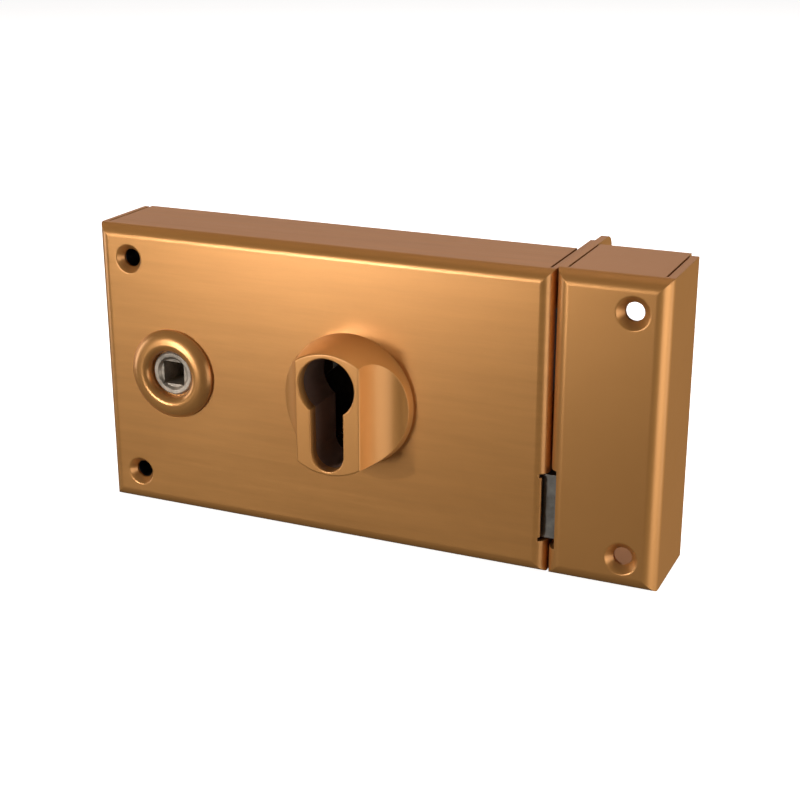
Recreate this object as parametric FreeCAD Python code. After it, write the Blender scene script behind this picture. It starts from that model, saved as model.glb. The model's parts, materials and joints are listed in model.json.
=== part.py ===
import FreeCAD, Part
import math
import os

# Surface-mounted door lock with its box keeper.
# Millimetres. +X runs from the lock case towards the keeper, +Y into the door, +Z up.
# The origin lies on the door face, at the mid-height of the case, halfway between the
# axis of the handle spindle and the axis of the cylinder hole.

V = FreeCAD.Vector
X_AXIS, Y_AXIS, Z_AXIS = V(1, 0, 0), V(0, 1, 0), V(0, 0, 1)

# ---- main plan ---------------------------------------------------------------------------
spindle_to_cylinder = 58.8
backset = 60.0
case_width = 143.0
case_height = 88.0
case_depth = 27.4
case_sheet = 1.5
case_bend = 3.6
spindle_x = -spindle_to_cylinder / 2
cylinder_x = spindle_to_cylinder / 2
case_right = cylinder_x + backset
case_left = case_right - case_width
front_y = -case_depth
inner_front_y = front_y + case_sheet
side_wall_depth = 26.3
front_plate_depth = 41.1
corner_slit = 0.6
slit_start = 0.4
plate_corner_r = 3.0

# ---- keeper ------------------------------------------------------------------------------
keeper_gap = 0.45
keeper_width = 31.55
keeper_height = 88.9
keeper_rise = 0.15
keeper_sheet = 2.2
keeper_bend = 4.0
keeper_depth = 31.9
keeper_side_depth = 29.1
keeper_plate_depth = 45.7
keeper_left = case_right + keeper_gap
keeper_right = keeper_left + keeper_width
keeper_z = (keeper_rise - keeper_height / 2, keeper_rise + keeper_height / 2)
keeper_corner_r = 4.0

# ---- fixing holes ------------------------------------------------------------------------
case_hole_inset = 10.5
case_hole_spacing = 68.0
case_hole_r = 2.7
case_hole_x = case_left + case_hole_inset
case_holes = [(case_hole_x, side * case_hole_spacing / 2) for side in (-1, 1)]
case_dimple_r = 4.3
keeper_hole_inset = 9.9
keeper_hole_spacing = 70.0
keeper_hole_r = 2.65
keeper_hole_x = keeper_right - keeper_hole_inset
keeper_dimple_r = 4.65
dimple_depth = 2.1
dimple_edge_r = 0.6
edge_hole_r = 2.25
edge_sink_r = 4.2
edge_hole_y = 6.8
edge_hole_spacing = 60.0
edge_sink_depth = 1.2
keeper_edge_hole_y = 11.6

# ---- cylinder hole and rosette -----------------------------------------------------------
rosette_base_r = 19.9
rosette_front_r = 18.0
rosette_shift_x = 0.3
rosette_z = -0.2
rosette_height = 14.9
band_half_width = 10.0
scoop_r = 12.5
euro_r = 8.65
euro_slot = 10.2
euro_circle_z = 7.7
euro_bottom_z = -17.0
lip_depth = 3.6
lip_edge_r = 0.35
rosette_edge_r = 0.5
rosette_front = front_y - rosette_height
liner_wall = 1.2
liner_gap = 0.05
liner_hole_gap = 0.1
rosette_screw_reach = 14.5
rosette_screw_r = 1.45
rosette_screw_head_r = 2.9
rosette_screw_grip = 3.4

# ---- handle follower ---------------------------------------------------------------------
ring_outer_r = 13.75
ring_inner_r = 7.25
ring_ridge_r = 10.1
ring_height = 3.0
ring_edge_height = 0.9
ring_lip_height = 1.3
ring_shoulder = 0.3
ring_spigot = 2.3
journal_r = 6.75
run_gap = 0.05
hub_r = 9.5
spindle_square = 7.0
handle_turn = math.radians(35)
arm_y = (-15.4, -11.8)
arm_tip_r = 2.5
upper_arm_length = 18.0
follower_proud = 0.5
face_dish_r = 5.2
face_dish_depth = 0.8
face_chamfer = 0.5
hub_y = (front_y + 3.0, -4.4)
bush_outer_r = 9.2
bush_flange_r = 11.0
bush_front = -4.0
spigot_r = 8.5
handle_spring_z = 15.0
handle_spring_length = 19.0
handle_spring_post_at = (-5.5, handle_spring_z)
handle_spring_post_r = 2.2
handle_spring_post_tip = -18.0

# ---- latch -------------------------------------------------------------------------------
latch_travel = 12.2
latch_projection = 12.0
latch_z = (-33.7, -14.6)
latch_y = (-24.8, -11.4)
latch_head_length = 37.0
tail_y = (-11.4, -8.4)
latch_tail_z = (-28.5, -19.0)
latch_axis_z = sum(latch_tail_z) / 2
arm_length = latch_travel / math.sin(handle_turn)
latch_tip = case_right + latch_projection
latch_rear = latch_tip - latch_head_length
latch_tip_land = 1.8
latch_bevel_start = case_right + 1.2
latch_clearance = 0.6
latch_mouth_corner = 1.2
latch_mouth_edge_x = case_right - 2.3
latch_mouth_edge_y = inner_front_y + 0.4
keeper_latch_clearance = 2.2
lug_face_x = spindle_x - arm_tip_r - 0.35
lug_thickness = 4.0
lug_top_z = -14.5
spring_axis_y = -18.5
spring_axis_z = -24.0
spring_spigot_r = 2.4
tail_post_x = 20.5
tail_post_r = 2.55
post_tip = -13.0

# ---- latch guide bracket -----------------------------------------------------------------
bracket_x = 36.4
bracket_thickness = 2.0
bracket_face_x = bracket_x + bracket_thickness
bracket_front_y = -24.5
bracket_foot_end = 54.0
bracket_z = (-32.0, -16.2)
bracket_rivet_x = 48.5
bracket_rivets_z = (-28.0, -20.5)
guide_rivet_r = 1.5
guide_rivet_head = (2.0, 2.6, 1.0)

# ---- deadbolt ----------------------------------------------------------------------------
bolt_throw = 20.0
bolt_z = (8.5, 32.5)
bolt_y = (-23.4, -11.4)
bolt_head_length = 39.0
bolt_face_inset = 0.5
bolt_tail_z = (18.3, 33.5)
bolt_tail_x = (-21.6, 65.0)
bolt_head_right = case_right - bolt_face_inset
bolt_rear = bolt_head_right - bolt_head_length
bolt_clearance = 0.35
bolt_rivets_z = 26.0
tail_rivet_depth = 6.0
tail_rivet_r = 2.0
tail_rivet_head = (3.2, 2.6, 1.2)
slot_end_play = 0.2
cam_notch_width = 9.2
cam_notch_depth = 5.7
detent_x = 46.0
detent_depth = 1.6
detent_half_width = 2.5
detent_posts_at = ((-5.0, 38.8), (12.0, 38.9))
detent_post_r = 1.5

# ---- key lever ---------------------------------------------------------------------------
lever_x = 6.4
lever_z = 28.0
lever_half_width = 4.0
lever_y = (-17.4, -15.6)
lever_stud_r = 3.0
lever_journal_r = 2.5
link_pin_r = 2.0
lever_tab_x = 19.4
lever_tab_z = (5.0, 11.0)
lever_tab_thickness = 1.8
lever_tab_front = -4.0
lever_arm_z = (-4.0, 17.0)
fork_play = 0.3
clip_y = (lever_y[0] - 0.9, lever_y[0] - 0.2)
clip_r = 4.4
clip_mouth = 1.6

# ---- back plate --------------------------------------------------------------------------
plate_thickness = 1.5
plate_gap = 0.2
tab_reach = 12.0
tab_half = 6.0
bottom_tabs_x = (-14.0, 56.0)
cover_screw_r = 1.9
cover_screw_head_r = 3.4
cover_screw_length = 6.5
cover_screw_y = -6.0
stud_neck = 0.7
sleeve_r = 4.0

# ---- cylinder fixing screw ---------------------------------------------------------------
cylinder_screw_z = euro_circle_z - 20.2
cylinder_screw_y = -6.9
cylinder_screw_r = 2.5
cylinder_screw_head_r = 4.6
cylinder_screw_end_gap = 0.8

EPS = 1e-6


def box(x, y, z):
    """A block between the two ends given along each axis."""
    return Part.makeBox(x[1] - x[0], y[1] - y[0], z[1] - z[0], V(x[0], y[0], z[0]))


def rod_y(x, z, radius, y0, y1):
    return Part.makeCylinder(radius, y1 - y0, V(x, y0, z), Y_AXIS)


def rod_x(y, z, radius, x0, x1):
    return Part.makeCylinder(radius, x1 - x0, V(x0, y, z), X_AXIS)


def cone_y(x, z, r0, r1, y0, y1):
    return Part.makeCone(r0, r1, y1 - y0, V(x, y0, z), Y_AXIS)


def prism_y(outline, y0, y1):
    """A flat outline in X and Z, given thickness along Y."""
    points = [V(x, y0, z) for x, z in outline]
    return Part.Face(Part.makePolygon(points + points[:1])).extrude(V(0, y1 - y0, 0))


def prism_z(outline, z0, z1):
    """A flat outline in X and Y, given thickness along Z."""
    points = [V(x, y, z0) for x, y in outline]
    return Part.Face(Part.makePolygon(points + points[:1])).extrude(V(0, 0, z1 - z0))


def round_edges(shape, radius, wanted):
    """Fillet the straight edges whose midpoint and direction satisfy wanted."""
    edges = []
    for edge in shape.Edges:
        if isinstance(edge.Curve, Part.Line):
            middle = (edge.Vertexes[0].Point + edge.Vertexes[-1].Point) / 2
            along = (edge.Vertexes[-1].Point - edge.Vertexes[0].Point).normalize()
            if wanted(middle, along):
                edges.append(edge)
    return shape.makeFillet(radius, edges)


def tray(x, y, z, radius):
    """A block with the four edges round its front face rounded."""
    return round_edges(box(x, y, z), radius, lambda middle, along: abs(middle.y - y[0]) < EPS)


def folded_cover(x, y_front, depths, z, sheet, bend):
    """A cover pressed from one sheet: a front with a wall on each of its four sides.

    depths holds how far the left, the right, and the top and bottom walls reach back. The side
    walls run the full height, and an open slit parts them from the top and bottom walls.
    """
    left, right, flange = depths
    back = y_front + max(depths) + 1
    tall = (z[0] - 1, z[1] + 1)
    inside = (x[0] + sheet, x[1] - sheet)
    cover = tray(x, (y_front, back - 1), z, bend)
    hollow = tray(inside, (y_front + sheet, back), (z[0] + sheet, z[1] - sheet), bend - sheet)
    cover = cover.cut(hollow)
    cover = cover.cut(box((x[0] - 1, inside[0]), (y_front + left, back), tall))
    cover = cover.cut(box((inside[1], x[1] + 1), (y_front + right, back), tall))
    cover = cover.cut(box(inside, (y_front + flange, back), tall))
    for slit in ((inside[0], inside[0] + corner_slit), (inside[1] - corner_slit, inside[1])):
        cover = cover.cut(box(slit, (y_front + bend + slit_start, back), tall))
    return cover


def add_dimple(cover, x, z, sink_r, hole_r, sheet):
    """Press a countersink into the front of a cover and pierce it."""
    y_end = front_y + dimple_depth
    skin = 0.8 * sheet
    cup = cone_y(x, z, sink_r + skin, hole_r + skin, front_y + 0.5 * sheet, y_end + 0.5 * sheet)
    sink = cone_y(x, z, sink_r, hole_r, front_y, y_end)
    hole = rod_y(x, z, hole_r, front_y - 1, y_end + 2 * sheet)
    cover = cover.fuse(cup).cut(sink.fuse(hole))
    mouth = [edge for edge in cover.Edges if isinstance(edge.Curve, Part.Circle)
             and edge.Curve.Center.distanceToPoint(V(x, front_y, z)) < EPS]
    return cover.makeFillet(dimple_edge_r, mouth)


def edge_hole(x_face, toward, y, z):
    """A countersunk hole through a wall that faces +X or -X; toward is the way the sheet lies."""
    hole = rod_x(y, z, edge_hole_r, x_face - 5, x_face + 5)
    sink = Part.makeCone(edge_sink_r, edge_hole_r, edge_sink_depth, V(x_face, y, z), V(toward, 0, 0))
    return hole.fuse(sink)


def euro_profile(grow, y0, y1):
    """The keyhole-shaped outline of a profile cylinder, enlarged all round by grow."""
    slot_r = euro_slot / 2 + grow
    foot_z = euro_bottom_z + euro_slot / 2
    head = rod_y(cylinder_x, euro_circle_z, euro_r + grow, y0, y1)
    foot = rod_y(cylinder_x, foot_z, slot_r, y0, y1)
    web = box((cylinder_x - slot_r, cylinder_x + slot_r), (y0, y1), (foot_z, euro_circle_z))
    return head.fuse(foot).fuse(web).removeSplitter()


def stud(x, z, radius, y_tip):
    """A turned stud that stands on the back plate, its thinner end riveted through the plate."""
    tip = rod_y(x, z, radius, y_tip, -plate_thickness)
    return tip.fuse(rod_y(x, z, radius * stud_neck, -plate_thickness, 0))


def coil(length, mean_r, wire_r, turns, origin):
    """A compression spring along +X from origin, swept turn by turn."""
    pitch = (length - 2 * wire_r) / turns
    path = []
    for turn in range(turns):
        loop = Part.makeHelix(pitch, pitch, mean_r)
        loop.translate(V(0, 0, wire_r + turn * pitch))
        path += loop.Edges
    section = Part.Wire(Part.makeCircle(wire_r, V(mean_r, 0, wire_r), Y_AXIS))
    spring = Part.Wire(path).makePipeShell([section], True, True)
    turned = FreeCAD.Placement(origin, FreeCAD.Rotation(Z_AXIS, X_AXIS))
    spring.Placement = turned.multiply(spring.Placement)
    return spring


def strip(points, thickness, y0, y1):
    """A bent leaf: a centre line in X and Z, given a thickness and a width along Y."""
    upper, lower = [], []
    for i, (x, z) in enumerate(points):
        before = points[max(i - 1, 0)]
        after = points[min(i + 1, len(points) - 1)]
        incoming = V(x - before[0], 0, z - before[1])
        outgoing = V(after[0] - x, 0, after[1] - z)
        normals = [V(-d.z, 0, d.x).normalize() for d in (incoming, outgoing) if d.Length > 1e-9]
        normal = normals[0] + normals[-1]
        normal = normal / normal.dot(normals[0]) * (thickness / 2)
        upper.append((x + normal.x, z + normal.z))
        lower.append((x - normal.x, z - normal.z))
    return prism_y(upper + lower[::-1], y0, y1)


def countersunk_screw(radius, head_r, length, place, direction):
    """A screw whose flat head lies at place and whose shank runs along direction."""
    head_h = head_r - radius
    body = Part.makeCone(head_r, radius, head_h, V(0, 0, 0), Z_AXIS)
    shank = Part.makeCylinder(radius, length - head_h, V(0, 0, head_h), Z_AXIS)
    slot = Part.makeBox(2.2 * head_r, 0.9, 0.8, V(-1.1 * head_r, -0.45, 0))
    screw = body.fuse(shank).cut(slot)
    screw.Placement = FreeCAD.Placement(place, FreeCAD.Rotation(Z_AXIS, direction))
    return screw


# ---- fixed parts of the lock -------------------------------------------------------------
def cover_screws():
    """Two screws up through the bottom wall and one through the left end wall."""
    places = [(V(x, cover_screw_y, -case_height / 2), Z_AXIS) for x in bottom_tabs_x]
    places.append((V(case_left, cover_screw_y, 0), X_AXIS))
    return [countersunk_screw(cover_screw_r, cover_screw_head_r, cover_screw_length, place, way)
            for place, way in places]


def cylinder_screw():
    """The long screw from the front plate towards the cylinder; its tip stops at the hole."""
    length = case_right - (cylinder_x + euro_slot / 2 + cylinder_screw_end_gap)
    place = V(case_right, cylinder_screw_y, cylinder_screw_z)
    return countersunk_screw(cylinder_screw_r, cylinder_screw_head_r, length, place, -X_AXIS)


def latch_window():
    """The notch in the front plate that the latch passes, open to the front of the case."""
    low, high = latch_z[0] - latch_clearance, latch_z[1] + latch_clearance
    back = latch_y[1] + latch_clearance
    notch = box((case_right - case_sheet - 0.1, case_right + 1), (front_y - 1, back), (low, high))
    notch = notch.fuse(box((case_right - case_bend, case_right + 1), (inner_front_y, back), (low, high)))
    for start in (low, high - latch_mouth_corner):
        notch = notch.fuse(box((latch_mouth_edge_x, case_right + 1), (front_y - 1, latch_mouth_edge_y),
                               (start, start + latch_mouth_corner)))
    return notch


def bolt_window(x, margin):
    return box(x, (bolt_y[0] - margin, bolt_y[1] + margin), (bolt_z[0] - margin, bolt_z[1] + margin))


def case_cover():
    depths = (side_wall_depth, front_plate_depth, case_depth)
    cover = folded_cover((case_left, case_right), front_y, depths, (-case_height / 2, case_height / 2),
                         case_sheet, case_bend)
    through = (front_y - 1, inner_front_y + 1)
    for x, z in case_holes:
        cover = add_dimple(cover, x, z, case_dimple_r, case_hole_r, case_sheet)
    cover = cover.cut(euro_profile(liner_wall + liner_hole_gap, *through))
    cover = cover.cut(rod_y(spindle_x, 0, spigot_r, *through))
    for side in (-1, 1):
        cover = cover.cut(rod_y(cylinder_x + side * rosette_screw_reach, 0, rosette_screw_r + 0.25, *through))
        cover = cover.cut(edge_hole(case_right, -1, edge_hole_y, side * edge_hole_spacing / 2))
    cover = cover.cut(latch_window())
    cover = cover.cut(bolt_window((case_right - 3, case_right + 1), bolt_clearance))
    for screw in cover_screws() + [cylinder_screw()]:
        cover = cover.cut(screw)
    plate_end = front_y + front_plate_depth
    return round_edges(cover, plate_corner_r, lambda m, a: m.y > plate_end - EPS and abs(a.x) > 0.99
                       and abs(m.z) > case_height / 2 - EPS)


def studs():
    """Every stud that is riveted through the back plate, by node name."""
    shoulder = lever_y[1] + 0.1
    pivot = stud(lever_x, lever_z, lever_stud_r, shoulder)
    pivot = pivot.fuse(rod_y(lever_x, lever_z, lever_journal_r, lever_y[0] - 1.4, shoulder))
    tail_post = stud(tail_post_x, latch_tail_z[1] + run_gap + tail_post_r, tail_post_r, post_tip)
    spring_post = stud(*handle_spring_post_at, handle_spring_post_r, handle_spring_post_tip)
    detent_posts = [stud(x, z, detent_post_r, post_tip) for x, z in detent_posts_at]
    return {"lever_pivot_stud": pivot, "latch_tail_guide_post": tail_post,
            "handle_spring_post": spring_post, "detent_spring_posts": Part.Compound(detent_posts)}


def back_plate():
    edge_x = (case_left + case_sheet + plate_gap, case_right - case_sheet - plate_gap)
    edge_z = case_height / 2 - case_sheet - plate_gap
    plate = box(edge_x, (-plate_thickness, 0), (-edge_z, edge_z))
    for x in bottom_tabs_x:
        tab = box((x - tab_half, x + tab_half), (-tab_reach, 0), (-edge_z, -edge_z + plate_thickness))
        plate = plate.fuse(tab)
    left = box((edge_x[0], edge_x[0] + plate_thickness), (-tab_reach, 0), (-tab_half, tab_half))
    plate = plate.fuse(left).removeSplitter()
    plate = plate.cut(euro_profile(0.6, -plate_thickness - 1, 1))
    plate = plate.cut(rod_y(spindle_x, 0, bush_outer_r, -plate_thickness - 1, 1))
    for x, z in case_holes:
        plate = plate.cut(rod_y(x, z, case_hole_r, -plate_thickness - 1, 1))
    for part in list(studs().values()) + cover_screws() + guide_rivets():
        plate = plate.cut(part)
    return plate


def follower_bush():
    flange = rod_y(spindle_x, 0, bush_flange_r, bush_front, -plate_thickness)
    bush = rod_y(spindle_x, 0, bush_outer_r, bush_front, 0).fuse(flange).removeSplitter()
    return bush.cut(rod_y(spindle_x, 0, journal_r + run_gap, bush_front - 1, 1))


def fixing_sleeves():
    """Tubes that keep the case from being crushed by its two face screws."""
    y_start = front_y + dimple_depth + 0.5 * case_sheet + 0.01
    tubes = []
    for x, z in case_holes:
        tube = rod_y(x, z, sleeve_r, y_start, -plate_thickness)
        tubes.append(tube.cut(rod_y(x, z, case_hole_r, y_start - 1, 0)))
    return Part.Compound(tubes)


def guide_rivets():
    """Rivets that hold the foot of the latch guide bracket on the back plate."""
    top = -plate_thickness - bracket_thickness
    tip_r, base_r, head_h = guide_rivet_head
    rivets = []
    for z in bracket_rivets_z:
        shank = rod_y(bracket_rivet_x, z, guide_rivet_r, top, 0)
        rivets.append(shank.fuse(cone_y(bracket_rivet_x, z, tip_r, base_r, top - head_h, top)))
    return rivets


def latch_guide_bracket():
    """An angle bracket: the tail slides through its window, and the latch spring leans on it."""
    foot_y = (-plate_thickness - bracket_thickness, -plate_thickness)
    upright = box((bracket_x, bracket_face_x), (bracket_front_y, -plate_thickness), bracket_z)
    bracket = upright.fuse(box((bracket_x, bracket_foot_end), foot_y, bracket_z)).removeSplitter()
    window = box((bracket_x - 1, bracket_face_x + 1), (tail_y[0] - 0.3, tail_y[1] + 0.3),
                 (latch_tail_z[0] - run_gap, latch_tail_z[1] + run_gap))
    spigot = rod_x(spring_axis_y, spring_axis_z, spring_spigot_r, bracket_face_x, bracket_face_x + 6)
    bracket = bracket.cut(window).fuse(spigot)
    for rivet in guide_rivets():
        bracket = bracket.cut(rivet)
    return bracket.removeSplitter()


# ---- rosette of the cylinder and ring of the handle --------------------------------------
def rosette_body():
    """A low cone whose sides are scooped away to leave a flat band up its middle."""
    rosette_x = cylinder_x + rosette_shift_x
    body = cone_y(rosette_x, rosette_z, rosette_front_r, rosette_base_r, rosette_front, front_y)
    for side in (-1, 1):
        x = rosette_x + side * (band_half_width + scoop_r)
        body = body.cut(Part.makeCylinder(scoop_r, 60, V(x, rosette_front, -30), Z_AXIS))
    front_edges = [edge for edge in body.Edges if abs(edge.BoundBox.YMax - rosette_front) < EPS]
    return body.makeFillet(rosette_edge_r, front_edges)


def rosette_screws():
    """Two small screws from inside the cover that hold the rosette on."""
    screws = []
    for side in (-1, 1):
        x = cylinder_x + side * rosette_screw_reach
        head = cone_y(x, 0, rosette_screw_head_r, 2.4, inner_front_y, inner_front_y + 1.6)
        slot = box((x - 3, x + 3), (inner_front_y + 0.9, inner_front_y + 2), (-0.4, 0.4))
        shank = rod_y(x, 0, rosette_screw_r, front_y - rosette_screw_grip, inner_front_y)
        screws.append(shank.fuse(head).cut(slot))
    return Part.Compound(screws)


def cylinder_rosette():
    body = rosette_body().cut(euro_profile(0, rosette_front - 1, front_y + 1))
    lip = [edge for edge in body.Edges if abs(edge.BoundBox.YMax - rosette_front) < EPS
           and abs(edge.BoundBox.Center.x - cylinder_x) < euro_r
           and abs(edge.BoundBox.Center.z) < rosette_front_r - 1.5]
    body = body.makeFillet(lip_edge_r, lip)
    body = body.cut(euro_profile(liner_wall, rosette_front + lip_depth, front_y + 1))
    return body.cut(rosette_screws())


def cylinder_liner():
    """The dark guide that lines the rosette behind its front lip and the hole in the cover."""
    y0, y1 = rosette_front + lip_depth, inner_front_y
    return euro_profile(liner_wall, y0, y1).cut(euro_profile(liner_gap, y0 - 1, y1 + 1))


def spindle_ring():
    """The raised round ring about the handle spindle, with a spigot through the cover."""
    def at(radius, height):
        return V(spindle_x + radius, front_y - height, 0)
    bore_r = journal_r + run_gap
    outer_edge = at(ring_outer_r, ring_edge_height)
    ridge = at(ring_ridge_r, ring_height)
    inner_edge = at(ring_inner_r, ring_lip_height)
    outer = Part.Arc(outer_edge, at(12.3, 2.3), ridge).toShape()
    inner = Part.Arc(ridge, at(8.35, 2.75), inner_edge).toShape()
    corners = [inner_edge, at(ring_inner_r, -ring_shoulder), at(bore_r, -ring_shoulder),
               at(bore_r, -ring_spigot), at(spigot_r, -ring_spigot), at(spigot_r, 0),
               at(ring_outer_r, 0), outer_edge]
    outline = Part.Wire([outer, inner] + Part.makePolygon(corners).Edges)
    return Part.Face(outline).revolve(V(spindle_x, 0, 0), Y_AXIS, 360)


# ---- handle follower ---------------------------------------------------------------------
def follower():
    """The hub that the spindle turns: two journals, a square hole and two arms."""
    front = front_y - follower_proud
    hub = rod_y(spindle_x, 0, journal_r, front, 0)
    hub = hub.fuse(rod_y(spindle_x, 0, hub_r, *hub_y))
    arms = box((spindle_x - arm_tip_r, spindle_x + arm_tip_r), arm_y, (-arm_length, upper_arm_length))
    arms = arms.fuse(rod_y(spindle_x, -arm_length, arm_tip_r, *arm_y))
    body = hub.fuse(arms).removeSplitter()
    half = spindle_square / 2
    body = body.cut(box((spindle_x - half, spindle_x + half), (front - 1, 1), (-half, half)))
    dish = cone_y(spindle_x, 0, face_dish_r, face_dish_r - face_dish_depth, front, front + face_dish_depth)
    keep = cone_y(spindle_x, 0, journal_r - face_chamfer, journal_r, front, front + face_chamfer)
    chamfer = rod_y(spindle_x, 0, journal_r + 1, front, front + face_chamfer).cut(keep)
    return body.cut(dish).cut(chamfer)


def handle_spring():
    start = V(spindle_x + arm_tip_r + 0.05, sum(arm_y) / 2, handle_spring_z)
    return coil(handle_spring_length, 2.3, 0.4, 7, start)


# ---- latch -------------------------------------------------------------------------------
def tail_rivets(xs, z):
    """Flat-headed rivets from the back of a tail into its bolt head."""
    base_r, tip_r, head_h = tail_rivet_head
    rivets = []
    for x in xs:
        shank = rod_y(x, z, tail_rivet_r, tail_y[0] - tail_rivet_depth, tail_y[1])
        rivets.append(shank.fuse(cone_y(x, z, base_r, tip_r, tail_y[1], tail_y[1] + head_h)))
    return Part.Compound(rivets)


def latch_rivets():
    return tail_rivets((latch_rear + 5.0, latch_rear + 14.0), latch_axis_z)


def latch_head():
    """The latch: flat to the front, bevelled on the side that meets the keeper first."""
    outline = [(latch_rear, latch_y[0]), (latch_tip, latch_y[0]), (latch_tip, latch_y[0] + latch_tip_land),
               (latch_bevel_start, latch_y[1]), (latch_rear, latch_y[1])]
    head = prism_z(outline, *latch_z)
    head = head.fuse(rod_x(spring_axis_y, spring_axis_z, spring_spigot_r, latch_rear - 4, latch_rear))
    return head.cut(latch_rivets())


def latch_pin():
    """The pin on the latch tail that the fork of the key lever holds."""
    return rod_y(lever_x, latch_axis_z, link_pin_r, lever_y[0] - 1.0, tail_y[1])


def latch_tail():
    """The strap behind the latch, with a lug at its far end for the arm of the follower."""
    lug_x = (lug_face_x - lug_thickness, lug_face_x)
    tail = box((lug_x[0], latch_rear + 20.0), tail_y, latch_tail_z)
    lug = box(lug_x, (arm_y[0] - 1.0, tail_y[1]), (latch_tail_z[0] + 2.0, lug_top_z))
    tail = tail.fuse(lug).removeSplitter()
    return tail.cut(latch_rivets()).cut(latch_pin())


def latch_spring():
    start = V(bracket_face_x + 0.1, spring_axis_y, spring_axis_z)
    return coil(latch_rear - start.x - 0.1, 3.4, 0.5, 8, start)


# ---- deadbolt ----------------------------------------------------------------------------
def deadbolt_rivets():
    return tail_rivets((bolt_rear + 4.0, bolt_rear + 11.0), bolt_rivets_z)


def deadbolt_head():
    head = box((bolt_rear, bolt_head_right), bolt_y, bolt_z)
    head = round_edges(head, 1.0, lambda m, a: abs(m.x - bolt_head_right) < EPS)
    return head.cut(deadbolt_rivets())


def deadbolt_tail():
    """The strap behind the deadbolt: a slot for its guide stud, a cam notch, two detent notches."""
    tail = box(bolt_tail_x, tail_y, bolt_tail_z)
    through = (tail_y[0] - 1, tail_y[1] + 1)
    slot_r = lever_stud_r + run_gap
    slot_x = (lever_x - bolt_throw - slot_end_play, lever_x + slot_end_play)
    slot = box(slot_x, through, (lever_z - slot_r, lever_z + slot_r))
    for x in slot_x:
        slot = slot.fuse(rod_y(x, lever_z, slot_r, *through))
    notch_x = cylinder_x - bolt_throw / 2
    notch = box((notch_x - cam_notch_width / 2, notch_x + cam_notch_width / 2), through,
                (0, bolt_tail_z[0] + cam_notch_depth))
    tail = tail.cut(slot).cut(notch)
    top = bolt_tail_z[1] + 0.01
    for x in (detent_x, detent_x - bolt_throw):
        vee = [(x - detent_half_width, top), (x, top - detent_depth), (x + detent_half_width, top)]
        tail = tail.cut(prism_y(vee, *through))
    return tail.cut(deadbolt_rivets())


def detent_spring():
    """A leaf sprung between two posts; its bent nose drops into the notches of the bolt tail."""
    line = [(-9.0, 36.95), (12.0, 36.95), (42.0, 35.7), (detent_x, 32.65), (50.0, 35.9), (53.0, 37.0)]
    return strip(line, 0.6, tail_y[0] - 0.5, tail_y[1] + 0.5)


# ---- key lever ---------------------------------------------------------------------------
def key_lever():
    """The lever by which the key also draws the latch: cam tab on the right, fork at the foot."""
    foot_z = latch_axis_z - 5.5
    edge = lever_x + lever_half_width
    blade = box((lever_x - lever_half_width, edge), lever_y, (foot_z, lever_z))
    blade = blade.fuse(rod_y(lever_x, lever_z, lever_half_width + 1.0, *lever_y))
    arm_low, arm_high = lever_arm_z
    arm = prism_y([(lever_x, arm_low), (edge, arm_low), (lever_tab_x, lever_tab_z[0]),
                   (lever_tab_x, lever_tab_z[1]), (edge, arm_high), (lever_x, arm_high)], *lever_y)
    tab = box((lever_tab_x - lever_tab_thickness, lever_tab_x), (lever_y[0], lever_tab_front), lever_tab_z)
    lever = blade.fuse(arm).fuse(tab).removeSplitter()
    through = (lever_y[0] - 1, lever_y[1] + 1)
    fork_half = link_pin_r + fork_play
    fork = box((lever_x - fork_half, lever_x + fork_half), through, (foot_z - 1, latch_axis_z + 3.2))
    return lever.cut(fork).cut(rod_y(lever_x, lever_z, lever_journal_r + run_gap, *through))


def lever_clip():
    """The open spring clip that keeps the lever on its stud."""
    through = (clip_y[0] - 1, clip_y[1] + 1)
    clip = rod_y(lever_x, lever_z, clip_r, *clip_y).cut(rod_y(lever_x, lever_z, lever_journal_r, *through))
    return clip.cut(box((lever_x - clip_mouth, lever_x + clip_mouth), through, (lever_z, lever_z + 6)))


# ---- keeper ------------------------------------------------------------------------------
def keeper_box():
    depths = (keeper_plate_depth, keeper_side_depth, keeper_depth)
    keeper = folded_cover((keeper_left, keeper_right), front_y, depths, keeper_z, keeper_sheet, keeper_bend)
    for side in (-1, 1):
        z = side * keeper_hole_spacing / 2
        keeper = add_dimple(keeper, keeper_hole_x, z, keeper_dimple_r, keeper_hole_r, keeper_sheet)
        z = keeper_rise + side * edge_hole_spacing / 2
        keeper = keeper.cut(edge_hole(keeper_left, 1, keeper_edge_hole_y, z))
    latch_gap_z = (latch_z[0] - keeper_latch_clearance, latch_z[1] + keeper_latch_clearance)
    latch_gap_back = latch_y[1] + 1.0
    keeper = keeper.cut(box((keeper_left - 1, keeper_left + keeper_sheet + 0.1),
                            (front_y - 1, latch_gap_back), latch_gap_z))
    keeper = keeper.cut(box((keeper_left - 1, keeper_left + keeper_bend + 0.3),
                            (front_y + keeper_sheet, latch_gap_back), latch_gap_z))
    keeper = keeper.cut(bolt_window((keeper_left - 1, keeper_left + 3), 1.0))
    plate_end = front_y + keeper_plate_depth
    return round_edges(keeper, keeper_corner_r, lambda m, a: m.y > plate_end - EPS and abs(a.x) > 0.99
                       and abs(m.z - keeper_rise) > keeper_height / 2 - EPS)


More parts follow.
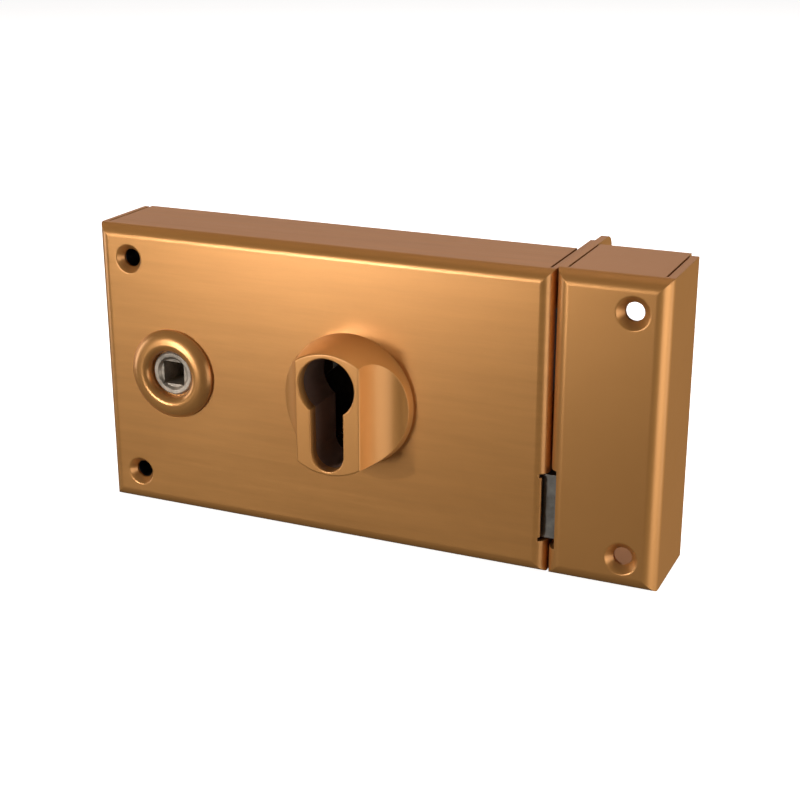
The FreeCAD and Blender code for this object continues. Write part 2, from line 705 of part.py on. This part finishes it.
def all_parts():
    parts = {
        "case_cover": case_cover(), "back_plate": back_plate(), "keeper_box": keeper_box(),
        "cylinder_rosette": cylinder_rosette(), "cylinder_liner": cylinder_liner(),
        "rosette_screws": rosette_screws(), "spindle_ring": spindle_ring(),
        "follower_bush": follower_bush(), "fixing_sleeves": fixing_sleeves(),
        "cover_screws": Part.Compound(cover_screws()), "cylinder_screw": cylinder_screw(),
        "latch_guide_bracket": latch_guide_bracket(),
        "guide_rivets": Part.Compound(guide_rivets()), "lever_clip": lever_clip(),
        "follower": follower(), "handle_spring": handle_spring(),
        "latch_head": latch_head(), "latch_tail": latch_tail(), "latch_rivets": latch_rivets(),
        "latch_pin": latch_pin(), "latch_spring": latch_spring(),
        "deadbolt_head": deadbolt_head(), "deadbolt_tail": deadbolt_tail(),
        "deadbolt_rivets": deadbolt_rivets(), "detent_spring": detent_spring(),
        "key_lever": key_lever(),
    }
    parts.update(studs())
    return parts


os.makedirs("parts", exist_ok=True)
for name, shape in all_parts().items():
    shape.exportStep("parts/" + name + ".step")
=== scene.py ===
import bpy
import json
import math
from mathutils import Matrix, Vector


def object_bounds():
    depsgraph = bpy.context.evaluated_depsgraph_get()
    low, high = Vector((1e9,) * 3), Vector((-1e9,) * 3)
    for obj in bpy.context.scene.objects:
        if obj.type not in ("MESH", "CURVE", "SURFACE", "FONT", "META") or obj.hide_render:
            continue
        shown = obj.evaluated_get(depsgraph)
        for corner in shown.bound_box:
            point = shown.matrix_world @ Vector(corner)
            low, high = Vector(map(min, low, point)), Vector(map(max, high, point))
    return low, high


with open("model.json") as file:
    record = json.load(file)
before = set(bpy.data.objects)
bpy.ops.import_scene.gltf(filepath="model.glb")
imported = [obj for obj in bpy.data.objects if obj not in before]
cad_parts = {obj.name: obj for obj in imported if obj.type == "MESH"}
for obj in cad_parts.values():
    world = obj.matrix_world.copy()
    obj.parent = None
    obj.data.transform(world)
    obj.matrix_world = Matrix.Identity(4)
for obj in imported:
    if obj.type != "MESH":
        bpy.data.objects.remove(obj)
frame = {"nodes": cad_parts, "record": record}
cad_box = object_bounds()

# A surface-mounted door lock in bronze lacquer, with its box keeper. Metres, +X towards the
# keeper, +Y into the door, +Z up. Every visible piece is a CAD node: this script gives each
# node its material, and sets the lock on a pale floor in soft studio light.

MM = 0.001
WHITE = (1.0, 1.0, 1.0)
scene = bpy.context.scene
lowest, highest = (Vector(corner) for corner in cad_box)
centre = (lowest + highest) / 2

# ---- colours, linear RGB -----------------------------------------------------------------
BRONZE = ((0.71, 0.32, 0.088), (0.78, 0.36, 0.105))
BRONZE_STREAK = (0.60, 0.27, 0.075)
# paler bronze laid along the lacquer's edges: a painted highlight
BRONZE_EDGE_HIGHLIGHT = (0.95, 0.62, 0.30)
LINER_BROWN = (0.24, 0.15, 0.11)
ZINC_PLATE = (0.62, 0.61, 0.57)
ZINC_BRIGHT = (0.68, 0.68, 0.66)
SCREW_YELLOW = (0.58, 0.54, 0.42)
BRASS = (0.78, 0.56, 0.26)
SPRING_GREY = (0.25, 0.25, 0.26)
CAST_GREY = (0.78, 0.66, 0.53)
LATCH_GREY = (0.46, 0.43, 0.38)
BOLT_GREY = (0.55, 0.53, 0.5)
FLOOR_GREYS = ((0.86, 0.86, 0.86), (0.88, 0.88, 0.88))
WARM_BACK = (1, 0.82, 0.74)
WARM_TOP = (1, 0.85, 0.78)

# ---- grain -------------------------------------------------------------------------------
EVEN = (1, 1, 1)
BRUSHED = (0.03, 1, 1)
BRUSHED_LONG = (0.07, 1, 1)
MACHINED = (0.06, 1, 1)
DRAWN = (1, 1, 0.5)
BUMP_DEPTH = 0.05 * MM
BEVEL_SAMPLES = 6

# ---- surround and camera -----------------------------------------------------------------
WORLD_COLOUR = (1.0, 0.97, 0.95)
WORLD_LEVEL = 0.035
WORLD_BELOW = 0.8
CAMERA_PLACE = (0.21105, -0.40167, 0.14593)
CAMERA_AZIMUTH = 23.877
CAMERA_ELEVATION = 19.379
CAMERA_ROLL = -0.061
CAMERA_LENS = 69.0
CAMERA_SENSOR = 36.0


# ---- node helpers ------------------------------------------------------------------------
class Graph:
    """A material or world node tree with short calls for the nodes used here."""

    def __init__(self, tree):
        self.tree = tree
        self.tree.nodes.clear()

    def add(self, kind, inputs=None, **settings):
        node = self.tree.nodes.new("ShaderNode" + kind)
        for name, value in settings.items():
            setattr(node, name, value)
        for name, value in (inputs or {}).items():
            self.put(node.inputs[name], value)
        return node

    def put(self, socket, value):
        if isinstance(value, bpy.types.NodeSocket):
            self.tree.links.new(value, socket)
        else:
            socket.default_value = value

    def math(self, operation, a, b=0.0, clamp=False):
        node = self.add("Math", operation=operation, use_clamp=clamp)
        self.put(node.inputs[0], a)
        self.put(node.inputs[1], b)
        return node.outputs[0]

    def sway(self, value, amount, middle):
        """Let a value that lies about 0.5 swing round a middle by an amount."""
        swing = self.math("MULTIPLY", self.math("SUBTRACT", value, 0.5), amount)
        return self.math("ADD", swing, middle)

    def ramp(self, value, low, high, out_low=0.0, out_high=1.0):
        node = self.add("MapRange", clamp=True)
        for index, item in enumerate((value, low, high, out_low, out_high)):
            self.put(node.inputs[index], item)
        return node.outputs[0]

    def mix(self, factor, a, b):
        node = self.add("Mix", data_type="RGBA")
        self.put(node.inputs[0], factor)
        self.put(node.inputs[6], a)
        self.put(node.inputs[7], b)
        return node.outputs[2]

    def noise(self, scale, stretch, detail, rough, seed):
        """Noise in the object's own coordinates, stretched by scaling each axis."""
        place = self.add("TexCoord").outputs["Object"]
        mapped = self.add("Mapping", {"Vector": place, "Location": (seed, seed * 0.7, seed * 1.3),
                                      "Scale": stretch}).outputs[0]
        inputs = {"Vector": mapped, "Scale": scale, "Detail": detail, "Roughness": rough}
        return self.add("TexNoise", inputs).outputs["Fac"]

    def rounded(self, radius):
        """The surface normal with its edges rounded off."""
        return self.add("Bevel", {"Radius": radius}, samples=BEVEL_SAMPLES).outputs[0]

    def edge_mask(self, radius):
        """0 on flat ground and 1 on sharp edges, from the rounded-edge normal."""
        flat = self.add("NewGeometry").outputs["Normal"]
        dot = self.add("VectorMath", {0: self.rounded(radius), 1: flat}, operation="DOT_PRODUCT")
        return self.ramp(self.math("SUBTRACT", 1.0, dot.outputs["Value"]), 0.02, 0.3)

    def bump(self, height, strength, edge_radius):
        inputs = {"Strength": strength, "Distance": BUMP_DEPTH, "Height": height,
                  "Normal": self.rounded(edge_radius)}
        return self.add("Bump", inputs).outputs[0]

    def finish(self, kind, inputs, output="OutputMaterial"):
        shader = self.add(kind, inputs)
        self.put(self.add(output).inputs[0], shader.outputs[0])


def rgb(color):
    return (*color, 1.0)


def new_material(name):
    material = bpy.data.materials.new(name)
    material.use_nodes = True
    return material, Graph(material.node_tree)


# ---- materials ---------------------------------------------------------------------------
def lacquer(name, seed, brushed=False, rough=0.40):
    """Bronze satin lacquer; on the case it lies over fine horizontal brushing. Its edges carry a painted
    highlight.
    """
    streak_tone, streak_grain, strength = (1.5, 0.7, 0.13) if brushed else (0.06, 0.0, 0.05)
    material, g = new_material(name)
    broad = g.noise(9, (1, 1, 1.6), 3, 0.5, seed)
    mottle = g.noise(260, EVEN, 4, 0.6, seed + 3)
    streak = g.noise(900, BRUSHED, 5, 0.65, seed + 7)
    long_streak = g.noise(260, BRUSHED_LONG, 5, 0.7, seed + 11)
    base = g.mix(g.ramp(broad, 0.3, 0.7), rgb(BRONZE[0]), rgb(BRONZE[1]))
    tone = g.math("MULTIPLY", g.math("SUBTRACT", long_streak, 0.5), streak_tone)
    base = g.mix(g.math("ADD", tone, 0.75, clamp=True), rgb(BRONZE_STREAK), base)
    # the edges are lightened towards a paler bronze: a painted highlight
    base = g.mix(g.math("MULTIPLY", g.edge_mask(0.35 * MM), 0.35), base, rgb(BRONZE_EDGE_HIGHLIGHT))
    grain = g.math("ADD", g.math("MULTIPLY", streak, streak_grain), g.math("MULTIPLY", mottle, 0.3))
    g.finish("BsdfPrincipled", {
        "Base Color": base, "Metallic": 0.65, "Roughness": g.sway(grain, 0.16, rough),
        "Normal": g.bump(grain, strength, 0.25 * MM), "Coat Weight": 0.5, "Coat Roughness": 0.25})
    return material


def metal(name, seed, color, rough=0.3, grain=(700, MACHINED), dirt=0.4, bump=0.15, metallic=1.0):
    """Bare or plated metal with a machined grain, dull stains and a painted highlight that lightens its
    edges.
    """
    material, g = new_material(name)
    height = g.noise(*grain, 5, 0.65, seed)
    stain = g.noise(120, EVEN, 5, 0.7, seed + 5)
    dark = [c * (1 - dirt) for c in color]
    edge_highlight = [min(1, c * 1.5) for c in color]
    base = g.mix(g.ramp(stain, 0.35, 0.7), rgb(dark), rgb(color))
    # the edges are lightened to half again the base colour: a painted highlight
    base = g.mix(g.math("MULTIPLY", g.edge_mask(0.3 * MM), 0.5), base, rgb(edge_highlight))
    g.finish("BsdfPrincipled", {
        "Base Color": base, "Metallic": metallic, "Roughness": g.sway(stain, 0.3, rough),
        "Normal": g.bump(height, bump, 0.2 * MM)})
    return material


def plastic(name, seed, color):
    """Dull moulded plastic with a fine skin."""
    material, g = new_material(name)
    grain = g.noise(900, EVEN, 4, 0.6, seed)
    broad = g.noise(60, EVEN, 3, 0.5, seed + 2)
    dark = [c * 0.8 for c in color]
    light = [c * 1.15 for c in color]
    g.finish("BsdfPrincipled", {
        "Base Color": g.mix(g.ramp(broad, 0.3, 0.7), rgb(dark), rgb(light)),
        "Roughness": g.sway(grain, 0.25, 0.45), "Normal": g.bump(grain, 0.2, 0.2 * MM)})
    return material


def pale_floor():
    """White with the faintest mottle, lit a little by itself."""
    material, g = new_material("pale_floor")
    base = g.mix(g.noise(3, EVEN, 2, 0.5, 1), *map(rgb, FLOOR_GREYS))
    g.finish("BsdfPrincipled", {"Base Color": base, "Roughness": 0.9,
                                "Emission Color": rgb(WHITE), "Emission Strength": 0.85})
    return material


def add_materials():
    """Give every CAD node the material of its slot in the record."""
    looks = {
        "case_lacquer": (lacquer, dict(seed=1.0, brushed=True, rough=0.34)),
        "keeper_lacquer": (lacquer, dict(seed=4.0)),
        "rosette_lacquer": (lacquer, dict(seed=8.0, rough=0.44)),
        "ring_lacquer": (lacquer, dict(seed=12.0, rough=0.38)),
        "liner_plastic": (plastic, dict(seed=2.0, color=LINER_BROWN)),
        "zinc_plate": (metal, dict(seed=3.0, color=ZINC_PLATE, rough=0.38, grain=(500, EVEN), dirt=0.25)),
        "zinc_steel": (metal, dict(seed=5.0, color=ZINC_BRIGHT)),
        "screw_steel": (metal, dict(seed=6.0, color=SCREW_YELLOW)),
        "bush_brass": (metal, dict(seed=7.0, color=BRASS)),
        "spring_steel": (metal, dict(seed=9.0, color=SPRING_GREY, rough=0.35)),
        "follower_cast": (metal, dict(seed=10.0, color=CAST_GREY, rough=0.42, grain=(420, EVEN), dirt=0.65,
                                      bump=0.9, metallic=0.7)),
        "latch_steel": (metal, dict(seed=13.0, color=LATCH_GREY, rough=0.4, grain=(380, DRAWN), dirt=0.5,
                                    bump=0.4)),
        "bolt_steel": (metal, dict(seed=14.0, color=BOLT_GREY)),
    }
    by_slot = {slot: make(slot, **look) for slot, (make, look) in looks.items()}
    for part in frame["record"]["subparts"]:
        mesh = frame["nodes"][part["node"]].data
        mesh.materials.clear()
        mesh.materials.append(by_slot[part["material_slot"]])


# ---- floor, light and camera -------------------------------------------------------------
def add_floor(size=8.0, gap=0.2 * MM):
    """A white floor that only the camera sees, so that the finish mirrors the soft surround."""
    z = lowest.z - gap
    corners = [(x * size, y * size, z) for x, y in ((-1, -1), (1, -1), (1, 1), (-1, 1))]
    mesh = bpy.data.meshes.new("floor")
    mesh.from_pydata(corners, [], [(0, 1, 2, 3)])
    mesh.materials.append(pale_floor())
    floor = bpy.data.objects.new("floor", mesh)
    scene.collection.objects.link(floor)
    floor.visible_glossy = False
    floor.visible_diffuse = False
    floor.visible_shadow = False


def direction(azimuth, elevation):
    """The way from the lock at an azimuth (0 in front, + to the right) and elevation, in degrees."""
    turn, lift = math.radians(azimuth), math.radians(elevation)
    return Vector((math.sin(turn) * math.cos(lift), -math.cos(turn) * math.cos(lift), math.sin(lift)))


def add_area(name, azimuth, elevation, distance, size, power, glossy=True, color=WHITE):
    """A softbox, width by height, that faces the lock; its power is in watts."""
    light = bpy.data.lights.new(name, "AREA")
    light.shape = "RECTANGLE"
    light.size, light.size_y = size
    light.energy = power
    light.color = color
    lamp = bpy.data.objects.new(name, light)
    scene.collection.objects.link(lamp)
    towards = direction(azimuth, elevation)
    lamp.location = centre + towards * distance
    lamp.rotation_euler = (-towards).to_track_quat("-Z", "Y").to_euler()
    lamp.visible_glossy = glossy


def add_lights():
    """A small sharp key and soft boxes in front, at both sides, behind and overhead."""
    add_area("key", -33, 13, 0.6, (0.02, 0.02), 1.2, glossy=False)
    add_area("front_softbox", -26, 8, 1.5, (0.35, 0.2), 2.8)
    add_area("front_near", -25, -2, 0.75, (0.14, 0.1), 1.05)
    add_area("left_strip", -78, 0, 1.2, (0.4, 0.6), 1.7)
    add_area("right_strip", 70, -8, 1.4, (1.1, 0.8), 4.2)
    add_area("right_back", 110, -8, 1.4, (0.7, 0.8), 1.6)
    add_area("right_wall_fill", 88, 5, 1.3, (0.5, 0.6), 22, glossy=False)
    add_area("back_softbox", 205, 22, 1.6, (1.0, 0.5), 0.85, color=WARM_BACK)
    add_area("overhead", 180, 80, 1.3, (0.8, 0.8), 13, glossy=False, color=WARM_TOP)


def add_world():
    """A faint even surround, a little darker below the horizon."""
    world = bpy.data.worlds.new("studio")
    scene.world = world
    world.use_nodes = True
    g = Graph(world.node_tree)
    height = g.add("SeparateXYZ", {0: g.add("TexCoord").outputs["Generated"]}).outputs["Z"]
    level = g.ramp(height, -0.45, -0.02, WORLD_BELOW, 1.0)
    strength = g.math("MULTIPLY", level, WORLD_LEVEL)
    g.finish("Background", {"Color": rgb(WORLD_COLOUR), "Strength": strength}, output="OutputWorld")


def add_camera():
    """A long-lens view from the lock's right and a little above."""
    camera = bpy.data.cameras.new("camera")
    camera.lens = CAMERA_LENS
    camera.sensor_width = CAMERA_SENSOR
    camera.clip_start = 0.01
    camera.clip_end = 50
    eye = bpy.data.objects.new("camera", camera)
    scene.collection.objects.link(eye)
    aim = (-direction(CAMERA_AZIMUTH, CAMERA_ELEVATION)).to_track_quat("-Z", "Y").to_matrix()
    turn = aim @ Matrix.Rotation(math.radians(CAMERA_ROLL), 3, "Z")
    eye.matrix_world = Matrix.Translation(CAMERA_PLACE) @ turn.to_4x4()
    scene.camera = eye


add_materials()
add_floor()
add_lights()
add_world()
add_camera()
scene.view_settings.view_transform = "Standard"
